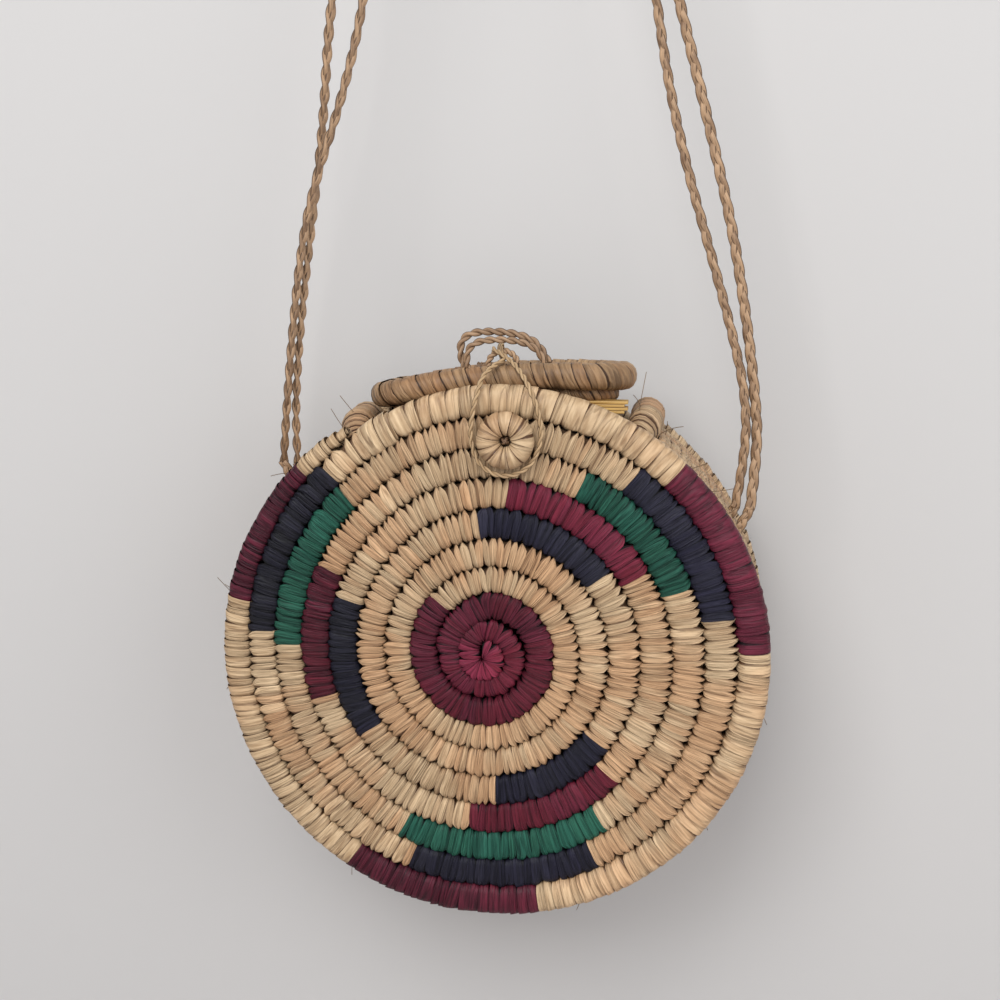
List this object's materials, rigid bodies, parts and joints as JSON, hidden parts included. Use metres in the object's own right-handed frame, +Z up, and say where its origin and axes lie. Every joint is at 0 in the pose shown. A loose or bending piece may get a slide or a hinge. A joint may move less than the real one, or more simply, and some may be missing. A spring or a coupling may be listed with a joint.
{
  "type": "circle bag",
  "caption": "Round coiled palm-leaf shoulder bag with colour-block swirl panels, a hinged oval lid with a pull handle, a loop and button closure and a doubled cord strap.",
  "frame": {"origin": "under the top of the strap, where a peg or a shoulder carries it", "axes": "+Z up, the front panel with the button faces -Y, +X to the right seen from the front"},
  "size_m": [0.2192, 0.075, 0.5129],
  "materials": {
    "leaf_natural": "dry palm leaf, soft sheen",
    "leaf_maroon": "dyed palm leaf, soft sheen",
    "leaf_navy": "dyed palm leaf, soft sheen",
    "leaf_green": "dyed palm leaf, soft sheen",
    "leaf_lid": "darker dry palm leaf, soft sheen",
    "core_fibre": "bundled dry fibre, matt",
    "core_strips": "bare split leaf, soft sheen",
    "cord": "braided leaf fibre, matt",
    "loop_raffia": "twisted raffia, soft sheen"
  },
  "bodies": {
    "strap": {"strap_cord_front": "cord", "strap_cord_back": "cord"},
    "bag": {"front_core": "core_fibre", "front_wrap_maroon": "leaf_maroon", "front_wrap_navy": "leaf_navy", "front_wrap_green": "leaf_green", "front_wrap_natural": "leaf_natural", "back_core": "core_fibre", "back_wrap_maroon": "leaf_maroon", "back_wrap_navy": "leaf_navy", "back_wrap_green": "leaf_green", "back_wrap_natural": "leaf_natural", "gusset_coil": "leaf_natural", "gusset_core": "core_fibre", "mouth_roll_left": "leaf_natural", "mouth_roll_right": "leaf_natural", "rim_binding_left": "leaf_natural", "button_ring": "leaf_natural", "button_tie": "cord", "lid_lashings": "cord", "strap_knots_left": "cord", "strap_knots_right": "cord"},
    "lid": {"lid_rim_coil": "leaf_lid", "lid_core": "core_fibre", "lid_inner_coil": "leaf_lid", "lid_middle_coil": "leaf_lid", "lid_plug_coil": "leaf_lid", "lid_core_strips": "core_strips", "loop_keeper": "cord"},
    "pull": {"pull_cord_outer": "cord", "pull_cord_inner": "cord"},
    "loop": {"closing_loop": "loop_raffia"}
  },
  "joints": [
    {"name": "bag_swing", "type": "hinge", "parent": "strap", "child": "bag", "pos_m": [-0.08456, 0, -0.32648], "axis": [0.9967, 0, -0.0811], "range_deg": [-60, 60]},
    {"name": "lid_hinge", "type": "hinge", "parent": "bag", "child": "lid", "pos_m": [0, 0.02536, -0.28676], "axis": [-1, 0, 0], "range_deg": [0, 110]},
    {"name": "loop_lift", "type": "hinge", "parent": "lid", "child": "loop", "pos_m": [0.00187, -0.01267, -0.27769], "axis": [-0.9945, 0, -0.1045], "range_deg": [0, 115]},
    {"name": "pull_flop", "type": "hinge", "parent": "lid", "child": "pull", "pos_m": [0.00243, -0.00381, -0.28302], "axis": [-0.9945, 0, -0.1045], "range_deg": [-12, 60]}
  ]
}
